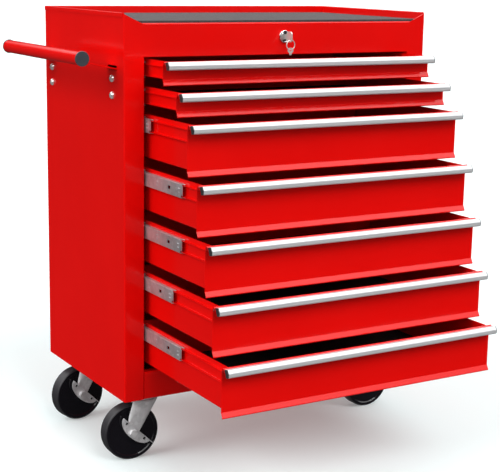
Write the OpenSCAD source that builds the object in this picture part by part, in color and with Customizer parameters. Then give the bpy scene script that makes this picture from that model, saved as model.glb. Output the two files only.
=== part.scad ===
// Seven-drawer rolling tool box: folded steel body, ball slides, side handle, key lock and casters.
// The cabinet is drawn with X from its left side, Y from its front face and Z from the floor.

/* [Body] */
// Width of the steel body
body_w = 596; // [560:1:800]
// Depth of the steel body
body_d = 330; // [325:1:380]
// Height of the top fascia, from the drawer opening to the rim
fascia_h = 69.5; // [66:0.5:90]
// Height of the bottom front rail
rail_h = 47.7; // [40:0.1:70]
// Width of each front column beside the drawers
column_w = 36.5; // [34:0.5:50]
// Thickness of the steel sheet
sheet = 1; // [0.8:0.1:1.2]
// Outer radius of the body's sheet bends
bend_r = 2.5; // [1.5:0.1:3]
// Depth of the top tray's floor below the rim
tray_depth = 16; // [15:0.5:19]
// Thickness of the rubber mat in the top tray
mat_t = 3.5; // [1:0.1:4]

/* [Drawers] */
// Number of shallow drawers at the top
shallow_count = 2; // [1:1:2]
// Number of deep drawers below them
deep_count = 5; // [4:1:5]
// Face height of a shallow drawer, above its slanted lip
shallow_h = 29.3; // [29:0.1:40]
// Face height of a deep drawer, above its slanted lip
deep_h = 72.2; // [50:0.1:90]
// Thickness of the drawers' sheet
drawer_sheet = 0.8; // [0.6:0.1:1]
// Height of the slanted lip along the bottom of a drawer front
lip_h = 9.3; // [6:0.1:12]
// Forward reach of the slanted lip
lip_reach = 5.2; // [3:0.1:7]
// Gap between a lip and the drawer below it
drawer_gap = 6; // [4:0.1:10]
// Depth of a drawer box, from the front face to the back wall
box_d = 285; // [280:1:290]
// Travel of each of a slide's two stages
stage_travel = 142; // [142:1:145]

/* [Casters] */
// Diameter of the wheels
wheel_d = 98; // [94:1:100]
// Width of the wheels' tread
wheel_w = 24; // [20:1:26]
// Height of the body's underside above the floor
caster_h = 118; // [118:1:124]
// Distance that a swivel caster's wheel trails behind its kingpin
trail = 23; // [18:1:30]
// Angle of the front swivel caster at rest
swivel_front_deg = -2; // [-20:1:20]
// Angle of the rear swivel caster at rest
swivel_rear_deg = 8; // [-20:1:20]

/* [Handle and lock] */
// Diameter of the push handle's tube
tube_d = 22; // [20:1:25]
// Length of the push handle's tube
tube_l = 320; // [318:1:380]
// Distance of the tube's axis from the side panel
tube_off = 72; // [60:1:90]
// Height of the lock's axis below the rim
lock_drop = 40; // [38:1:42]

/* [Hidden] */
$fn = 48;
eps = 0.01;
steel_red = [0.86, 0.03, 0.03];
zinc = [0.72, 0.73, 0.75];
alu = [0.85, 0.86, 0.88];
black = [0.06, 0.06, 0.07];

drawer_count = shallow_count + deep_count;
function face_h(i) = i < shallow_count ? shallow_h : deep_h;
function pitch(i) = face_h(i) + lip_h + drawer_gap;
function stack(i) = i == 0 ? 0 : stack(i - 1) + pitch(i - 1);
top_gap = 2.2;
foot_gap = 1.9;
open_h = top_gap + stack(drawer_count) - drawer_gap + foot_gap;
body_h = fascia_h + open_h + rail_h;
top_z = caster_h + body_h;
open_top = top_z - fascia_h;
rail_top = caster_h + rail_h;
function drawer_z(i) = open_top - top_gap - stack(i);

// How far each drawer stands open at rest, and how much of that its intermediate slide members do
open_rest = [62, 108, 145, 177, 205, 230, 260];
member_rest = [0, 0, 31, 142, 141, 113, 142];

// Drawer fronts: 1 mm inside the columns; a forward-leaning top edge carries the pull
front_x = column_w + sheet;
front_w = body_w - 2 * front_x;
pull_reach = 20;
hem_out = 1.3;
top_lean = [-3.4, -0.3];
flange_end = [-9, -7.6];
pull_path = [[-7.2, -2.2], [-16.2, -0.3], [-pull_reach, -6], [-19.4, -13.4], [-13, -13.4]];
pull_t = 1.6;
cap_t = 1.2;

// Ball slides: half heights and side faces of the outer, intermediate and inner members
stage_overlap = 133;
slide_l = stage_travel + stage_overlap;
slide_y = 14;
slide_drop = 18.5;
outer_half = 13.5;
member_half = 11.2;
inner_half = 9.5;
outer_x = column_w;
member_x = column_w + 2.4;
flange_x = column_w + 8.6;
box_x = column_w + 10.1;
inner_reach = 5.6;
hem_h = 8;

// Handle arms, which rise from their slots to the tube's near side, and their bolts
tube_y = -2;
tube_z = top_z - 70;
tube_wall = 1.5;
arm_w = 32;
arm_t = 2.5;
arm_z = tube_z - 19;
arm_end = [-tube_off + tube_d / 2 - tube_wall - 0.9, tube_z - 4.5];
arm_y = [28, 281];
arm_drop = 56;
arm_bolt_z = [top_z - 106, top_z - 133];
bolt_r = 3;
bolt_head_r = 6;
fit = 0.05;

// Casters: kingpin places on the left, fixed fork places on the right
swivel_x = 54;
swivel_y = [47, body_d - 52];
rigid_x = body_w - 44;
rigid_y = [84, body_d - 84];
plate = [66, 56, 3];
plate_bolt = [26, 21];
plate_bolt_r = 4;
bolt_rise = 10;
crown_z = 107.2;
crown_r = 27;
kingpin_r = 5;
fork_gap = 30;
fork_t = 2.5;
axle_r = 4;
ear_chord = 67;
ear_depth = 17.3;
ear_off = 8.6;
ear_hole_x = 22.4;
foot_w = 26.5;

// Lock, key, ring and locking bar
lock_x = body_w / 2;
lock_z = top_z - lock_drop;
plug_r = 7;
bar_travel = 5;
cam_r = bar_travel / sqrt(2);
ring_r = 8;
ring_wire = 0.8;
hole_y = -21;
hole_z = lock_z - 5;
spare_z = hole_z - 2 * ring_r;

// The origin stands on the floor in the middle of the object's box at rest
handle_cap_r = tube_d / 2 + 0.9;
handle_cap_t = 1.2;
origin_x = (rigid_x + wheel_d / 2 - tube_off - handle_cap_r) / 2;
origin_y = (body_d + hem_out - open_rest[drawer_count - 1] - pull_reach) / 2;

// ---- Bent sheet: a path of straight runs, with round bends, given a thickness to its left ----

function unit(v) = v / norm(v);
function left_of(v) = [-v[1], v[0]];
function reversed(p) = [for (i = [len(p) - 1:-1:0]) p[i]];

function bend(a, b, c, r, n = 5) =
    let (u = unit(a - b), w = unit(c - b), half = acos(u * w) / 2,
         mid = b + unit(u + w) * r / sin(half), reach = r / tan(half),
         v0 = b + u * reach - mid, v1 = b + w * reach - mid, sweep = 180 - 2 * half)
    [for (k = [0:n]) mid + (sin(sweep * (1 - k / n)) * v0 + sin(sweep * k / n) * v1) / sin(sweep)];

function round_path(p, r) = let (last = len(p) - 1)
    concat([p[0]], [for (i = [1:last - 1]) each bend(p[i - 1], p[i], p[i + 1], r)], [p[last]]);

function side_path(p, t) =
    [for (i = [0:len(p) - 1])
        let (d0 = unit(i == 0 ? p[1] - p[0] : p[i] - p[i - 1]),
             d1 = unit(i == len(p) - 1 ? p[i] - p[i - 1] : p[i + 1] - p[i]))
        p[i] + t * (left_of(d0) + left_of(d1)) / (1 + d0 * d1)];

module bent_sheet(path, t, r) {
    run = round_path(path, r);
    polygon(concat(run, reversed(side_path(run, t))));
}

// Extrusions of a section along each axis, from a start to an end
module along_x(x0, x1) translate([x0, 0, 0]) rotate([90, 0, 90]) linear_extrude(x1 - x0) children();
module along_y(y0, y1) translate([0, y1, 0]) rotate([90, 0, 0]) linear_extrude(y1 - y0) children();
module along_z(z0, z1) translate([0, 0, z0]) linear_extrude(z1 - z0) children();
module rod_y(r, y0, y1, fn = $fn)
    translate([0, y0, 0]) rotate([-90, 0, 0]) cylinder(r = r, h = y1 - y0, $fn = fn);
module rod_x(r, x0, x1, fn = $fn)
    translate([x0, 0, 0]) rotate([0, 90, 0]) cylinder(r = r, h = x1 - x0, $fn = fn);

module both_sides() {
    children();
    translate([body_w, 0, 0]) mirror([1, 0, 0]) children();
}

module placed() translate([-origin_x, -origin_y, 0]) children();

// ---- Body ----

module side_sheet() {
    back = [[0, body_d], [14, body_d]];
    along_z(caster_h, open_top)
        bent_sheet(concat([[column_w, 26], [column_w, 0], [0, 0]], back), -sheet, bend_r);
    along_z(open_top, top_z - sheet) bent_sheet(concat([[0, 4]], back), -sheet, bend_r);
}

module arm_bolt_places() for (y = arm_y, z = arm_bolt_z) translate([0, y + arm_w / 2, z]) children();

module side_panel_left() color(steel_red) placed() difference() {
    side_sheet();
    for (y = arm_y)
        translate([-1, y - 1, arm_z - arm_t - 1]) cube([sheet + 2, arm_w + 2, arm_t + 5.5]);
    arm_bolt_places() rod_x(bolt_r + fit, -1, sheet + 1);
}

module side_panel_right() color(steel_red) placed()
    translate([body_w, 0, 0]) mirror([1, 0, 0]) side_sheet();

module front_fascia() color(steel_red) placed() {
    slope = 36;
    edge_z = top_z - tray_depth;
    outline = [[-1, open_top - 1], [body_w + 1, open_top - 1], [body_w + 1, top_z - 1.5],
        [body_w, top_z - 1.5], [body_w - slope, edge_z - bend_r], [slope, edge_z - bend_r],
        [0, top_z - 1.5], [-1, top_z - 1.5]];
    intersection() {
        along_z(open_top, top_z)
            bent_sheet([[0, 4 - eps], [0, 0], [body_w, 0], [body_w, 4 - eps]], sheet, bend_r);
        difference() {
            along_y(-1, 6) polygon(outline);
            translate([lock_x, 0, lock_z]) rod_y(9 + fit, -2, 8);
        }
    }
    // the upper edge folds back to meet the tray's floor
    along_x(slope - 3.6, body_w - slope + 3.6)
        bent_sheet([[0, edge_z - bend_r - 0.5], [0, edge_z], [5, edge_z]], -sheet, bend_r);
    along_x(column_w + 1, body_w - column_w - 1)
        polygon([[sheet, open_top], [24, open_top], [24, open_top + sheet], [sheet, open_top + sheet]]);
}

module top_tray() color(steel_red) placed() {
    hem = 7.3;
    in = 3.2;
    r = 1.25;
    floor_z = top_z - tray_depth;
    side = [[-hem_out, top_z - hem], [-hem_out, top_z], [in, top_z], [in, floor_z]];
    across = [for (i = [len(side) - 1:-1:0]) [body_w - side[i][0], side[i][1]]];
    along_y(5, body_d - in + sheet / 2) bent_sheet(concat(side, across), -sheet, r);
    along_x(in - sheet / 2, body_w - in + sheet / 2)
        bent_sheet([[body_d - in - 6, floor_z - 0.1], [body_d - in, floor_z - 0.1], [body_d - in, top_z],
            [body_d + hem_out, top_z], [body_d + hem_out, top_z - hem]], -sheet, r);
    // a flange, welded under the floor, hangs down behind the fascia
    along_x(in, body_w - in)
        bent_sheet([[12, floor_z - sheet], [sheet, floor_z - sheet], [sheet, floor_z - 12]],
            sheet, bend_r - sheet + 0.1);
    translate([in, 6, floor_z - 1.5 * sheet]) cube([body_w - 2 * in, 5, sheet]);
}

module work_mat() color([0.33, 0.33, 0.34]) placed()
    translate([4.8, 2.6, top_z - tray_depth])
        cube([body_w - 9.6, body_d - 7.4, mat_t]);

module back_panel() color(steel_red) placed() {
    inner = body_d - sheet;
    along_x(bend_r + 0.1, body_w - bend_r - 0.1)
        bent_sheet([[inner - 12, caster_h + sheet], [inner, caster_h + sheet], [inner, top_z - 1.2]],
            sheet, 1.2);
    // straps that guide the locking bar
    for (z = [rail_top + 40, open_top - 30])
        translate([lock_x - 16, body_d - 12, z]) difference() {
            cube([32, 11 - sheet, 12]);
            translate([5.5, 3.7, -1]) cube([21, 2.6, 14]);
        }
}

module plate_bolt_places() {
    for (y = swivel_y, sx = [-1, 1], sy = [-1, 1])
        translate([swivel_x + sx * plate_bolt[0], y + sy * plate_bolt[1], caster_h]) children();
    for (y = rigid_y, sx = [-1, 1], sy = [-1, 1])
        translate([rigid_x + sx * plate_bolt[0], y + sy * plate_bolt[1], caster_h]) children();
}

module base_pan() color(steel_red) placed() difference() {
    union() {
        along_x(column_w, body_w - column_w)
            bent_sheet([[14, rail_top], [0, rail_top], [0, caster_h], [30, caster_h]], sheet, bend_r);
        translate([sheet, 26, caster_h]) cube([body_w - 2 * sheet, body_d - 26 - 2 * sheet, sheet]);
        translate([sheet, sheet, caster_h]) cube([column_w - 2 * sheet, 26, sheet]);
        translate([body_w - column_w + sheet, sheet, caster_h]) cube([column_w - 2 * sheet, 26, sheet]);
    }
    plate_bolt_places() translate([0, 0, -1]) cylinder(r = plate_bolt_r + fit, h = 4);
}

module rear_posts() color(steel_red) placed() both_sides()
    along_z(caster_h + bolt_rise + 2, open_top + 20)
        bent_sheet([[sheet, 262], [column_w, 262], [column_w, 277], [sheet, 277]], sheet, 1.5);

// ---- Ball slides ----

// A channel of the given half height, with its web at x0 and its flanges reaching x1
module channel(x0, x1, half, t)
    bent_sheet([[x1, half], [x0, half], [x0, -half], [x1, -half]], t, 1.2);

module fixed_runners() color(zinc) placed()
    for (i = [0:drawer_count - 1]) both_sides()
        translate([0, 0, drawer_z(i) - slide_drop])
            along_y(slide_y, slide_y + slide_l) channel(outer_x, flange_x, outer_half, sheet);

module runner_member() {
    clip = 6;
    difference() {
        along_y(0, slide_l - 2) channel(member_x, flange_x - 0.1, member_half, sheet);
        for (s = [-1, 1])
            translate([member_x - 1, 0, s * member_half]) rotate([45, 0, 0])
                cube([12, clip * 2, clip], center = true);
        translate([member_x - 1, 41, -2.6]) cube([3, 8, 5.2]);
    }
    for (y = [10, 13.5, 86], s = [-1, 1])
        translate([member_x, y, s * 3]) rod_x(1.1, -0.7, eps, 24);
}

module runners(i) color(zinc) placed()
    translate([0, slide_y + 1 - member_rest[i], drawer_z(i) - slide_drop])
        both_sides() runner_member();

// ---- Drawers, drawn closed with the top of the front at Z = 0 ----

module drawer_box(i) {
    h = face_h(i);
    t = drawer_sheet;
    wall_x = box_x + t;
    color(steel_red) placed() translate([0, -open_rest[i], drawer_z(i)]) {
        // front: slanted lip with its folded edge, flat face, rolled top edge
        along_x(front_x, front_x + front_w)
            bent_sheet([[3 - lip_reach, -h - lip_h], [-lip_reach, -h - lip_h], [0, -h], [0, -9],
                top_lean, flange_end], -t, 1.3);
        // tray
        along_y(t, box_d)
            bent_sheet([[box_x, -1], [box_x, -h], [body_w - box_x, -h], [body_w - box_x, -1]], t, 1.5);
        along_x(wall_x - eps, body_w - wall_x + eps)
            polygon([[box_d - t, -h + eps], [box_d, -h + eps], [box_d, -1], [box_d - t, -1]]);
        both_sides() {
            // the side wall's front edge follows the leaning top of the front
            along_x(box_x, wall_x) polygon([[0.5, -10], [-2.4, -1], [2, -1], [2, -10]]);
            // top hem and inner slide member
            translate([box_x - t, t, -1 - hem_h]) cube([t + eps, box_d - t, hem_h]);
            translate([0, 0, -slide_drop]) along_y(t, t + slide_l)
                mirror([1, 0, 0]) channel(-box_x - eps, inner_reach - box_x, inner_half, t);
        }
    }
}

module drawer_pull(i) color(alu) placed() translate([0, -open_rest[i], drawer_z(i)])
    along_x(front_x + cap_t, front_x + front_w - cap_t) bent_sheet(pull_path, pull_t, 3);

module drawer_caps(i) color(black) placed() translate([0, -open_rest[i], drawer_z(i)])
    both_sides() along_x(front_x, front_x + cap_t)
        polygon(concat(round_path(pull_path, 3), [[-11.6, -8.6]]));

// ---- Side handle ----

module at_tube() translate([-tube_off, tube_y, tube_z]) children();

module handle_tube() color(steel_red) placed() at_tube() difference() {
    rod_y(tube_d / 2, 0, tube_l);
    rod_y(tube_d / 2 - tube_wall, -1, tube_l + 1);
}

module handle_caps() color(black) placed() at_tube()
    for (flip = [0, 1]) translate([0, flip * tube_l, 0]) mirror([0, flip, 0]) {
        rotate([90, 0, 0]) rotate_extrude()
            polygon(concat([[0, 0], [handle_cap_r, 0]],
                bend([handle_cap_r, 0], [handle_cap_r, handle_cap_t], [0, handle_cap_t], 0.6),
                [[0, handle_cap_t]]));
        rod_y(tube_d / 2 - tube_wall - 0.1, -eps, 14);
    }

module handle_arms() color(steel_red) placed() difference() {
    corner = [sheet + arm_t, arm_z];
    for (y = arm_y) along_y(y, y + arm_w)
        bent_sheet([arm_end, corner, corner - [0, arm_drop]], -arm_t, arm_t + 1);
    at_tube() rod_y(tube_d / 2, 0, tube_l);
    arm_bolt_places() rod_x(bolt_r + fit, 0, 8);
}

module handle_bolts() color(zinc) placed() arm_bolt_places() {
    dome = [for (k = [0:6]) [bolt_head_r * cos(k * 15), 0.6 + 4.2 * sin(k * 15)]];
    difference() {
        rotate([0, -90, 0]) rotate_extrude() polygon(concat([[0, 0], [bolt_head_r, 0]], dome));
        for (turn = [0, 90]) rotate([turn, 0, 0])
            translate([-4, 0, 0]) cube([2.6, 1.2, 5], center = true);
    }
    rod_x(bolt_r, -eps, sheet + arm_t + 8);
    rod_x(5.8, sheet + arm_t, sheet + arm_t + 5, 6);
}

// ---- Lock ----

module at_lock() placed() translate([lock_x, 0, lock_z]) children();

module lock_housing() color(zinc) at_lock() difference() {
    union() {
        rotate([90, 0, 0]) rotate_extrude()
            polygon(concat([[0, 0], [10.5, 0]], bend([10.5, 0], [10.5, 2.6], [8, 2.6], 0.9),
                [[8.6, 2.6], [8, 2], [0, 2]]));
        rod_y(9, -eps, 21);
        rod_y(13, 8, 12, 6);
    }
    rod_y(plug_r + fit, -4, 22);
}

module lock_plug() color(zinc) at_lock() {
    difference() {
        rod_y(plug_r, -2.4, 23);
        translate([-1.05, -3, -4.35]) cube([2.1, 23.05, 8.7]);
    }
    rotate([0, -45, 0]) translate([cam_r, 0, 0]) rod_y(1.5, 23 - eps, 29);
}

module key() color([0.8, 0.8, 0.8]) at_lock() {
    blade = [[20, -4.3], [20, 1], [17, 4.3], [-9, 4.3], [-9, -4.3]];
    translate([-1, 0, 0]) along_x(0, 2) difference() {
        union() {
            polygon(blade);
            translate([-16.5, 0]) intersection() {
                circle(r = 9.6);
                square([16, 17.6], center = true);
            }
        }
        translate([hole_y, -5]) circle(r = 2.2);
    }
}

module key_ring() color([0.8, 0.8, 0.8]) placed() translate([lock_x, hole_y, hole_z - ring_r])
    rotate([90, 0, 0]) rotate_extrude() translate([ring_r, 0]) circle(r = ring_wire, $fn = 24);

module spare_key() color([0.8, 0.8, 0.8]) placed() translate([lock_x, hole_y, spare_z]) rotate([0, 0, 45])
    along_x(-0.7, 0.7) difference() {
        union() {
            translate([0, -1.2]) circle(r = 4.8);
            polygon([[-1.8, -3], [1.8, -3], [1.8, -7.6], [0.3, -9.4], [-1.8, -8]]);
        }
        circle(r = 2.2);
    }

module lock_bar() color(zinc) placed() {
    bar_y = body_d - 8;
    reach_y = box_d - 5.9;
    difference() {
        translate([lock_x - 12, 25, lock_z - 12]) cube([24, 2, 24]);
        translate([lock_x + cam_r * cos(45) - 4, 24, lock_z + cam_r * sin(45) - 1.9]) cube([8, 4, 3.8]);
    }
    translate([lock_x + 6, 27 - eps, lock_z - 12]) cube([2, bar_y - 27 + 1, 8]);
    foot_z = drawer_z(drawer_count - 1);
    translate([lock_x - 10, bar_y, foot_z]) cube([20, 2, lock_z - 4 - foot_z]);
    for (i = [0:drawer_count - 1]) translate([lock_x - 8, reach_y, drawer_z(i) + 0.5]) {
        cube([16, 2.5, 6]);
        translate([0, 0, 5]) cube([16, bar_y - reach_y + 1, 2]);
    }
}

// ---- Casters: drawn with the fork's pivot at X = Y = 0 and the wheel trailing towards -X ----

module wheel_shape() {
    half = wheel_w / 2;
    rim = wheel_d / 2;
    quarter = [[axle_r + fit, half + 2.4], [13, half + 2.4], [14.5, half - 1],
        [rim - 8, half - 1.4], [rim - 6.5, half]];
    tread = bend([rim - 6, half], [rim, half], [rim, 0], 3);
    upper = concat(quarter, tread);
    rotate([-90, 0, 0]) rotate_extrude($fn = 96)
        polygon(concat(upper, reversed([for (p = upper) [p[0], -p[1]]])));
}

module axle_shape() {
    end = fork_gap / 2 + fork_t;
    rod_y(axle_r, -end - 3, end + 8);
    rod_y(7.5, -end - 5.5, -end, 6);
    rod_y(7.5, end, end + 6.5, 6);
}

// Half-oval ear plate below its chord, with two square holes
module ear_face() difference() {
    polygon([for (k = [0:20]) [ear_chord / 2 * cos(k * 9), -ear_depth * sin(k * 9)]]);
    for (s = [-1, 1]) translate([s * ear_hole_x, -3.3]) square(4.4, center = true);
}

// Two curved legs under a round crown, and the ears that hold the axle; a tilted fork's ears and feet
// sit off the axle along their chord
module fork_shape(back, tilt, crown, top) {
    end = fork_gap / 2 + fork_t;
    tilted = tilt != 0;
    foot_x = tilted ? -6.6 : 0;
    ear_x = tilted ? 1.3 : 0;
    flange_l = ear_chord + (tilted ? 6 : 0);
    module at_ears() translate([-back, 0, wheel_d / 2]) rotate([0, -tilt, 0]) children();
    difference() {
        hull() {
            translate([0, 0, crown]) cylinder(r = crown_r, h = 1, $fn = 32);
            at_ears() translate([foot_x, 0, ear_off]) cube([foot_w, 2 * end, 1], center = true);
        }
        hull() {
            translate([0, 0, crown + 0.1]) cylinder(r = crown_r - fork_t, h = 1, $fn = 32);
            at_ears() translate([foot_x, 0, ear_off - 0.1])
                cube([foot_w - 2 * fork_t, fork_gap, 1], center = true);
        }
        translate([-60, -fork_gap / 2, 0]) cube([120, fork_gap, crown - 0.5]);
    }
    translate([0, 0, crown]) cylinder(r = crown_r, h = top - crown);
    for (s = [0, 1]) mirror([0, s, 0]) at_ears() {
        difference() {
            along_y(fork_gap / 2, end) translate([ear_x, ear_off]) ear_face();
            rod_y(axle_r, 0, 40);
        }
        translate([ear_x - ear_chord / 2, end - fork_t, ear_off - 0.6]) cube([flange_l, fork_t + 3, 1.2]);
    }
}

swivel_tilt = -44;
module swivel_at(k) placed() translate([swivel_x, swivel_y[k], 0])
    rotate([0, 0, k == 0 ? swivel_front_deg : swivel_rear_deg]) children();
module rigid_at(k) placed() translate([rigid_x, rigid_y[k], 0]) children();

module caster_plate() difference() {
    translate([-plate[0] / 2, -plate[1] / 2, caster_h - plate[2]]) cube(plate);
    for (sx = [-1, 1], sy = [-1, 1])
        translate([sx * plate_bolt[0], sy * plate_bolt[1], caster_h - 4])
            cylinder(r = plate_bolt_r + fit, h = 6);
}

module caster_plates() color(zinc) placed() for (y = swivel_y) translate([swivel_x, y, 0]) {
    caster_plate();
    translate([0, 0, crown_z + 0.3]) cylinder(r = 23, h = caster_h - plate[2] - crown_z - 0.3 + eps);
    translate([0, 0, crown_z - 4]) cylinder(r = kingpin_r, h = 8);
    translate([0, 0, crown_z - 5.6]) cylinder(r = 8, h = 2.3);
}

module caster_bolts() color(zinc) placed() plate_bolt_places() {
    translate([0, 0, -plate[2] - 5]) cylinder(r = plate_bolt_r, h = plate[2] + 5 + bolt_rise);
    translate([0, 0, -plate[2] - 4]) cylinder(r = 7, h = 4, $fn = 6);
    translate([0, 0, sheet]) cylinder(r = 7, h = 6, $fn = 6);
}

module swivel_fork(k) color(zinc) swivel_at(k) difference() {
    fork_shape(trail, swivel_tilt, crown_z - 3, crown_z);
    translate([0, 0, crown_z - 4]) cylinder(r = kingpin_r + fit, h = 5);
}
module swivel_axle(k) color(zinc) swivel_at(k) translate([-trail, 0, wheel_d / 2]) axle_shape();

module rigid_forks() color(zinc) for (k = [0, 1]) rigid_at(k) {
    fork_shape(0, 0, caster_h - plate[2] - 3, caster_h - plate[2] + eps);
    caster_plate();
}
module rigid_axles() color(zinc) for (k = [0, 1]) rigid_at(k) translate([0, 0, wheel_d / 2]) axle_shape();

module wheel_left(k) color(black) swivel_at(k) translate([-trail, 0, wheel_d / 2]) wheel_shape();
module wheel_right(k) color(black) rigid_at(k) translate([0, 0, wheel_d / 2]) wheel_shape();

side_panel_left();
side_panel_right();
back_panel();
top_tray();
front_fascia();
base_pan();
rear_posts();
work_mat();
fixed_runners();
handle_tube();
handle_caps();
handle_arms();
handle_bolts();
lock_housing();
lock_plug();
lock_bar();
key();
key_ring();
spare_key();
caster_plates();
caster_bolts();
swivel_fork(0);  // swivel_fork_front
swivel_fork(1);  // swivel_fork_rear
swivel_axle(0);  // swivel_axle_front
swivel_axle(1);  // swivel_axle_rear
rigid_forks();
rigid_axles();
wheel_left(0);  // wheel_front_left
wheel_left(1);  // wheel_rear_left
wheel_right(0);  // wheel_front_right
wheel_right(1);  // wheel_rear_right
for (n = [1:drawer_count]) drawer_box(n - 1);
for (n = [1:drawer_count]) drawer_pull(n - 1);
for (n = [1:drawer_count]) drawer_caps(n - 1);
for (n = [1:drawer_count]) runners(n - 1);
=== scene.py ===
"""Looks of the rolling tool box.

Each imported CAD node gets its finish, and each drawer gets the thin rubber liner that CAD leaves out.
"""

import math

import bmesh
import bpy
from mathutils import Matrix, Vector


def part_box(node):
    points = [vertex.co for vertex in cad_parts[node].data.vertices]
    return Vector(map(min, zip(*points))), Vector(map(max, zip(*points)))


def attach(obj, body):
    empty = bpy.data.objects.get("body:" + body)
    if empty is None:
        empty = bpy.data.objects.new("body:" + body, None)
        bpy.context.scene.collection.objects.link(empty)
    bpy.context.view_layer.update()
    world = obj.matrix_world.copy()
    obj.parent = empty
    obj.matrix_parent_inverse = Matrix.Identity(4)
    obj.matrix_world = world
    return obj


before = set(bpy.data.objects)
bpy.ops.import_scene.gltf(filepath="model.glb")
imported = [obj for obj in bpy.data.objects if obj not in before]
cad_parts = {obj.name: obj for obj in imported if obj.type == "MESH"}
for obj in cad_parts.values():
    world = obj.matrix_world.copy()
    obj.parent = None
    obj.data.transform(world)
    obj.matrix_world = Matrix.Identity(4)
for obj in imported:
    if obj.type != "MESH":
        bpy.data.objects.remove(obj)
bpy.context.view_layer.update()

MM = 0.001

# The photograph's viewing angle: front left, a little above the rim, with a long lens
SENSOR_WIDTH = 36
LENS = 91.64
CAMERA_PLACE = (-1.12005, -1.86545, 0.8325)
CAMERA_TURN = math.radians(30.858)
CAMERA_DROP = math.radians(11.897)
CAMERA_ROLL = math.radians(1.045)

# Sizes repeated from part.scad
DRAWERS = range(1, 8)
LIP_HEIGHT = 9.3 * MM
DRAWER_SHEET = 0.8 * MM
PULL_REACH = 20 * MM
HALF_HUB = 14.4 * MM

# The liners, and the room they leave at the drawer's sides, front face and back face
LINER_THICKNESS = 1.2 * MM
LINER_CORNER = 12 * MM
LINER_LIFT = 0.05 * MM
SIDE_ROOM = 11.5 * MM
FRONT_ROOM = 1.5 * MM
BACK_ROOM = 2.5 * MM

# A wheel's scuffed tread fades in between these depths below its rim
TREAD_FROM = 3.2 * MM
TREAD_TO = 1.2 * MM

FLOOR_SIZE = 60
SUN_SPREAD = math.radians(35)


# ---- Camera ----

def add_camera():
    data = bpy.data.cameras.new("camera")
    data.sensor_width = SENSOR_WIDTH
    data.lens = LENS
    data.clip_end = 200
    cam = bpy.data.objects.new("camera", data)
    cam.matrix_world = (Matrix.Translation(CAMERA_PLACE)
                        @ Matrix.Rotation(-CAMERA_TURN, 4, "Z")
                        @ Matrix.Rotation(math.pi / 2 - CAMERA_DROP, 4, "X")
                        @ Matrix.Rotation(CAMERA_ROLL, 4, "Z"))
    bpy.context.scene.collection.objects.link(cam)
    bpy.context.scene.camera = cam


# ---- Node helpers ----

def shade(colour, factor):
    return tuple(channel * factor for channel in colour)


def fill_ramp(ramp, stops):
    """Sets a colour ramp to (position, colour) stops, where a single number is a grey."""
    elements = ramp.color_ramp.elements
    while len(elements) < len(stops):
        elements.new(0.5)
    for element, (position, colour) in zip(elements, stops):
        element.position = position
        element.color = (*colour, 1) if isinstance(colour, tuple) else (colour, colour, colour, 1)


class Look:
    """A node material: one Principled shader whose constant values sit on its own sockets."""

    def __init__(self, name, colour, roughness, metallic=0.0, **sockets):
        self.material = bpy.data.materials.new(name)
        self.material.use_nodes = True
        self.tree = self.material.node_tree
        self.shader = self.tree.nodes["Principled BSDF"]
        self.fill(self.shader, {"Base Color": (*colour, 1), "Roughness": roughness, "Metallic": metallic})
        self.fill(self.shader, {key.replace("_", " "): value for key, value in sockets.items()})
        self.place = self.tree.nodes.new("ShaderNodeTexCoord").outputs["Object"]
        self.relief = None

    @staticmethod
    def fill(node, values):
        for key, value in values.items():
            node.inputs[key].default_value = value

    def node(self, kind, inputs=None, links=None, **settings):
        """A new node with constant inputs, linked inputs and settings."""
        made = self.tree.nodes.new(kind)
        for key, value in settings.items():
            setattr(made, key, value)
        self.fill(made, inputs or {})
        for key, source in (links or {}).items():
            self.tree.links.new(source, made.inputs[key])
        return made

    def stretched(self, scale):
        """The object's coordinates, scaled by a different amount along each axis."""
        return self.node("ShaderNodeMapping", {"Scale": scale}, {"Vector": self.place}).outputs["Vector"]

    def noise(self, scale, detail, vector=None):
        return self.node("ShaderNodeTexNoise", {"Scale": scale, "Detail": detail, "Roughness": 0.55},
                         {"Vector": vector or self.place}).outputs["Fac"]

    def cells(self, scale, output="Distance"):
        return self.node("ShaderNodeTexVoronoi", {"Scale": scale}, {"Vector": self.place}).outputs[output]

    def ramp(self, value, *stops):
        made = self.node("ShaderNodeValToRGB", links={"Fac": value})
        fill_ramp(made, stops)
        return made.outputs["Color"]

    def maths(self, operation, a, b):
        made = self.node("ShaderNodeMath", operation=operation)
        for socket, value in zip(made.inputs, (a, b)):
            if isinstance(value, (int, float)):
                socket.default_value = value
            else:
                self.tree.links.new(value, socket)
        return made.outputs["Value"]

    def blend(self, a, share_a, b, share_b):
        """The sum of two values, each times its share."""
        return self.maths("ADD", self.maths("MULTIPLY", a, share_a), self.maths("MULTIPLY", b, share_b))

    def spread(self, value, low, high):
        """A 0 to 1 value, mapped onto low to high."""
        made = self.node("ShaderNodeMapRange", {"To Min": low, "To Max": high}, {"Value": value})
        return made.outputs["Result"]

    def vector(self, operation, output, a, b=None):
        """Vector maths on a linked vector and, where it takes two, a constant one."""
        constants = {} if b is None else {1: b}
        return self.node("ShaderNodeVectorMath", constants, {0: a}, operation=operation).outputs[output]

    def feed(self, socket, source):
        self.tree.links.new(source, self.shader.inputs[socket])

    def mottle(self, colour, value, *stops):
        """Shades the base colour by (position, factor) stops along a 0 to 1 value."""
        self.feed("Base Color", self.ramp(value, *((at, shade(colour, factor)) for at, factor in stops)))

    def bump(self, height, distance, strength):
        """A surface relief of the given depth in metres; later calls lie on top of earlier ones."""
        links = {"Height": height}
        if self.relief:
            links["Normal"] = self.relief
        made = self.node("ShaderNodeBump", {"Distance": distance, "Strength": strength}, links)
        self.relief = made.outputs["Normal"]
        self.feed("Normal", self.relief)


# ---- Finishes ----

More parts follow.
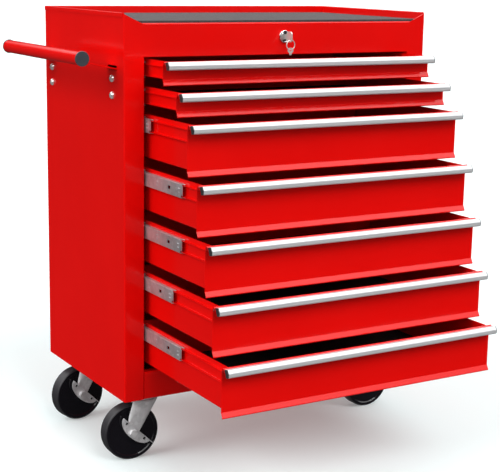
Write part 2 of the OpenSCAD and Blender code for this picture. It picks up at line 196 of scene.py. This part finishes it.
def red_paint():
    """Glossy red powder coat: fine orange peel, faint cloudiness and a few duller patches."""
    look = Look("red_paint", (0.80, 0.003, 0.002), 0.2, Specular_IOR_Level=0.32)
    deep, full = (0.765, 0.0025, 0.0017), (0.815, 0.0032, 0.0022)
    look.feed("Base Color", look.ramp(look.noise(5, detail=4), (0.3, deep), (0.7, full)))
    look.feed("Roughness", look.spread(look.noise(22, detail=5), 0.11, 0.2))
    look.bump(look.noise(420, detail=2), 0.03 * MM, 0.4)
    return look.material


def zinc(name, colour, metallic):
    """Bright zinc plate: crystalline patches, rolling marks and a cloudy sheen."""
    look = Look(name, colour, 0.3, metallic=metallic)
    clouds = look.blend(look.cells(160, output="Color"), 0.35, look.noise(45, detail=5), 0.65)
    look.mottle(colour, clouds, (0.25, 0.8), (0.75, 1.2))
    rolled = look.noise(30, detail=3, vector=look.stretched((1, 0.04, 1)))
    look.feed("Roughness", look.spread(rolled, 0.24, 0.44))
    look.bump(rolled, 0.05 * MM, 0.4)
    return look.material


def aluminium():
    """Satin anodised aluminium with fine lengthwise extrusion lines."""
    look = Look("aluminium", (0.84, 0.85, 0.87), 0.36, metallic=0.25)
    lines = look.noise(900, detail=3, vector=look.stretched((0.003, 1, 1)))
    dull, bright = (0.56, 0.57, 0.58), (0.66, 0.67, 0.68)
    look.feed("Base Color", look.ramp(lines, (0.25, dull), (0.75, bright)))
    look.feed("Roughness", look.spread(lines, 0.3, 0.46))
    look.bump(lines, 0.03 * MM, 0.5)
    return look.material


def polished_plate(name, colour, low, high, metallic=1.0):
    """Polished plate with faint wipe marks and tiny scratches; low and high are its roughness."""
    look = Look(name, colour, low, metallic=metallic)
    wipes = look.noise(90, detail=6, vector=look.stretched((1, 1, 0.2)))
    look.feed("Roughness", look.spread(wipes, low, high))
    look.mottle(colour, look.noise(60, detail=4), (0.2, 0.86), (0.8, 1.0))
    look.bump(look.noise(1500, detail=2, vector=look.stretched((1, 1, 0.05))), 0.01 * MM, 0.4)
    return look.material


def moulded(name, colour, low, high):
    """Moulded plastic with a fine spark-eroded grain; low and high are its roughness."""
    look = Look(name, colour, low)
    look.mottle(colour, look.noise(70, detail=4), (0.25, 0.8), (0.75, 1.2))
    look.feed("Roughness", look.spread(look.noise(240, detail=3), low, high))
    look.bump(look.cells(1500), 0.06 * MM, 0.6)
    return look.material


def pebbled_rubber(name, colour):
    """Soft rubber sheet with a pebbled surface, a little dusty between its pebbles."""
    look = Look(name, colour, 0.7, Specular_IOR_Level=0.1)
    pebbles = look.cells(420)
    dust = look.blend(pebbles, 0.6, look.noise(180, detail=5), 0.5)
    look.mottle(colour, dust, (0.15, 0.6), (0.8, 1.6))
    look.feed("Roughness", look.spread(look.noise(40, detail=3), 0.6, 0.85))
    look.bump(pebbles, 0.3 * MM, 0.8)
    return look.material


def wheel_finish(node):
    """Polished black moulding with a duller, finely scuffed tread."""
    low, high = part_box(node)
    centre = (low + high) / 2
    radius = (high.z - low.z) / 2
    # a swivelled wheel's box is deeper than its hub is wide, which gives about its yaw
    yaw = math.asin(min(1, max(0, ((high.y - low.y) / 2 - HALF_HUB) / radius)))
    if "front" in node:
        yaw = -yaw
    axis = Vector((-math.sin(yaw), math.cos(yaw), 0))

    look = Look("black_" + node, (0.013, 0.012, 0.015), 0.14, Specular_IOR_Level=0.4)
    from_centre = look.vector("SUBTRACT", "Vector", look.place, centre)
    off_axis = look.vector("CROSS_PRODUCT", "Vector", from_centre, axis)
    tread = look.node("ShaderNodeMapRange", {"From Min": radius - TREAD_FROM, "From Max": radius - TREAD_TO},
                      {"Value": look.vector("LENGTH", "Value", off_axis)}).outputs["Result"]
    scuff = look.noise(160, detail=5)
    scuffed_tread = look.maths("MULTIPLY", tread, look.spread(scuff, 0.7, 1.0))
    glossy, dull = (0.009, 0.008, 0.011), (0.020, 0.019, 0.022)
    look.feed("Base Color", look.ramp(scuffed_tread, (0.0, glossy), (1.0, dull)))
    look.feed("Roughness", look.maths("ADD", look.spread(tread, 0.12, 0.5),
                                      look.spread(look.noise(45, detail=4), -0.03, 0.08)))
    look.bump(scuff, 0.08 * MM, 0.35)
    return look.material


def dress():
    """Gives every CAD node its finish."""
    paint = red_paint()
    cast = zinc("zinc_cast", (0.74, 0.74, 0.75), 0.35)
    slide = zinc("zinc_slide", (0.52, 0.52, 0.54), 0.65)
    pull = aluminium()
    bolt = polished_plate("bolt_nickel", (0.80, 0.79, 0.78), 0.12, 0.28, metallic=0.5)
    chrome = polished_plate("lock_chrome", (0.80, 0.80, 0.82), 0.04, 0.14)
    nickel = polished_plate("key_nickel", (0.74, 0.72, 0.68), 0.16, 0.34, metallic=0.5)
    black = moulded("cap_black", (0.022, 0.022, 0.024), 0.4, 0.6)
    grey = moulded("cap_grey", (0.035, 0.042, 0.052), 0.35, 0.55)
    mat = pebbled_rubber("mat_rubber", (0.052, 0.046, 0.048))
    by_name = {"work_mat": mat, "handle_caps": grey, "handle_bolts": bolt, "lock_housing": chrome,
               "lock_plug": chrome, "key": nickel, "key_ring": nickel, "spare_key": nickel}
    by_name.update(dict.fromkeys(("side_panel_left", "side_panel_right", "back_panel", "top_tray",
                                  "front_fascia", "base_pan", "rear_posts", "handle_tube",
                                  "handle_arms"), paint))
    by_ending = {"_box": paint, "_pull": pull, "_caps": black, "runners": slide}
    for name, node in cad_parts.items():
        if name in by_name:
            material = by_name[name]
        elif name.startswith("wheel"):
            material = wheel_finish(name)
        else:
            endings = [finish for ending, finish in by_ending.items() if name.endswith(ending)]
            material = endings[0] if endings else cast
        node.data.materials.clear()
        node.data.materials.append(material)


# ---- Drawer liners ----

def slab(name, low, high, corner):
    """The mesh of a thin sheet with rounded corners."""
    steps = 6
    rounds = [(high.x - corner, high.y - corner), (low.x + corner, high.y - corner),
              (low.x + corner, low.y + corner), (high.x - corner, low.y + corner)]
    bm = bmesh.new()
    rim = []
    for quarter, (x, y) in enumerate(rounds):
        for k in range(steps + 1):
            turn = math.pi / 2 * (quarter + k / steps)
            rim.append(bm.verts.new((x + corner * math.cos(turn), y + corner * math.sin(turn), low.z)))
    raised = bmesh.ops.extrude_face_region(bm, geom=[bm.faces.new(rim)])["geom"]
    for part in raised:
        if isinstance(part, bmesh.types.BMVert):
            part.co.z = high.z
    bmesh.ops.recalc_face_normals(bm, faces=bm.faces)
    mesh = bpy.data.meshes.new(name)
    bm.to_mesh(mesh)
    bm.free()
    return mesh


def drawer_liners():
    """A black rubber liner with softened edges on the floor of each drawer."""
    rubber = pebbled_rubber("liner_rubber", (0.012, 0.012, 0.013))
    for n in DRAWERS:
        name = f"drawer_{n}_liner"
        box_low, box_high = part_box(f"drawer_{n}_box")
        pull_low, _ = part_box(f"drawer_{n}_pull")
        low = Vector((box_low.x + SIDE_ROOM, pull_low.y + PULL_REACH + FRONT_ROOM,
                      box_low.z + LIP_HEIGHT + DRAWER_SHEET + LINER_LIFT))
        high = Vector((box_high.x - SIDE_ROOM, box_high.y - BACK_ROOM, low.z + LINER_THICKNESS))
        liner = bpy.data.objects.new(name, slab(name, low, high, LINER_CORNER))
        bpy.context.scene.collection.objects.link(liner)
        liner.data.materials.append(rubber)
        edge = liner.modifiers.new("edge", "BEVEL")
        edge.width = LINER_THICKNESS * 0.4
        edge.segments = 2
        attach(liner, f"drawer_{n}")


# ---- Studio ----

def add_floor():
    """A wide pale floor that takes shadows, and that no reflection or bounced light meets."""
    bm = bmesh.new()
    bmesh.ops.create_grid(bm, x_segments=1, y_segments=1, size=FLOOR_SIZE)
    mesh = bpy.data.meshes.new("floor")
    bm.to_mesh(mesh)
    bm.free()
    floor = bpy.data.objects.new("floor", mesh)
    bpy.context.scene.collection.objects.link(floor)
    dull, pale = (0.75, 0.845, 0.845), (0.76, 0.855, 0.855)
    look = Look("floor_white", pale, 0.9, Specular_IOR_Level=0.0,
                Emission_Color=(1, 1, 1, 1), Emission_Strength=0.2)
    look.feed("Base Color", look.ramp(look.noise(3, detail=2), (0.2, dull), (0.8, pale)))
    look.material.cycles.emission_sampling = "NONE"
    mesh.materials.append(look.material)
    floor.visible_glossy = floor.visible_diffuse = floor.visible_shadow = False


def add_world():
    """Plain white to the camera, a soft sky for matt surfaces and a striped one for gloss."""
    world = bpy.data.worlds.new("studio")
    bpy.context.scene.world = world
    world.use_nodes = True
    tree = world.node_tree
    direction = tree.nodes.new("ShaderNodeTexCoord")
    split = tree.nodes.new("ShaderNodeSeparateXYZ")
    tree.links.new(direction.outputs["Generated"], split.inputs[0])

    def sky(strength, *stops):
        """Light of the given strength, dimmed by grey stops from straight down (0) to overhead (1)."""
        rise = tree.nodes.new("ShaderNodeMapRange")
        rise.inputs["From Min"].default_value = -1
        tree.links.new(split.outputs["Z"], rise.inputs["Value"])
        ramp = tree.nodes.new("ShaderNodeValToRGB")
        fill_ramp(ramp, stops)
        tree.links.new(rise.outputs["Result"], ramp.inputs["Fac"])
        glow = tree.nodes.new("ShaderNodeBackground")
        glow.inputs["Strength"].default_value = strength
        tree.links.new(ramp.outputs["Color"], glow.inputs["Color"])
        return glow.outputs[0]

    matt = sky(1.0, (0.47, 0.2), (0.53, 0.7))
    # a bright ceiling and a faint floor, with a dark room between them
    gloss = sky(3.4, (0.05, 0.1), (0.25, 0.01), (0.66, 0.01), (0.78, 1.0))
    white = tree.nodes.new("ShaderNodeBackground")
    white.inputs["Color"].default_value = (1, 1, 1, 1)

    path = tree.nodes.new("ShaderNodeLightPath")
    shown = matt
    for ray, source in (("Is Glossy Ray", gloss), ("Is Camera Ray", white.outputs[0])):
        mix = tree.nodes.new("ShaderNodeMixShader")
        tree.links.new(path.outputs[ray], mix.inputs[0])
        tree.links.new(shown, mix.inputs[1])
        tree.links.new(source, mix.inputs[2])
        shown = mix.outputs[0]
    tree.links.new(shown, tree.nodes["World Output"].inputs["Surface"])


def add_light(name, kind, energy, towards, place=(0, 0, 0), **settings):
    data = bpy.data.lights.new(name, kind)
    data.energy = energy
    for key, value in settings.items():
        setattr(data, key, value)
    light = bpy.data.objects.new(name, data)
    light.location = place
    light.rotation_euler = Vector(towards).to_track_quat("-Z", "Y").to_euler()
    bpy.context.scene.collection.objects.link(light)


def studio():
    """A pale floor under wide soft light from high in front and from the left, and a weak softbox."""
    add_floor()
    add_world()
    add_light("high_light", "SUN", 1.7, (-0.15, 0.85, -0.85), angle=SUN_SPREAD)
    add_light("left_light", "SUN", 1.7, (0.95, 0.05, -0.6), angle=SUN_SPREAD)
    softbox_place = Vector((-1.6, -3.6, 2.0))
    aim = Vector((0, 0, 0.45))
    add_light("front_light", "AREA", 12, aim - softbox_place, softbox_place, shape="SQUARE", size=2.2)
    bpy.context.scene.view_settings.view_transform = "Standard"


add_camera()
dress()
drawer_liners()
studio()
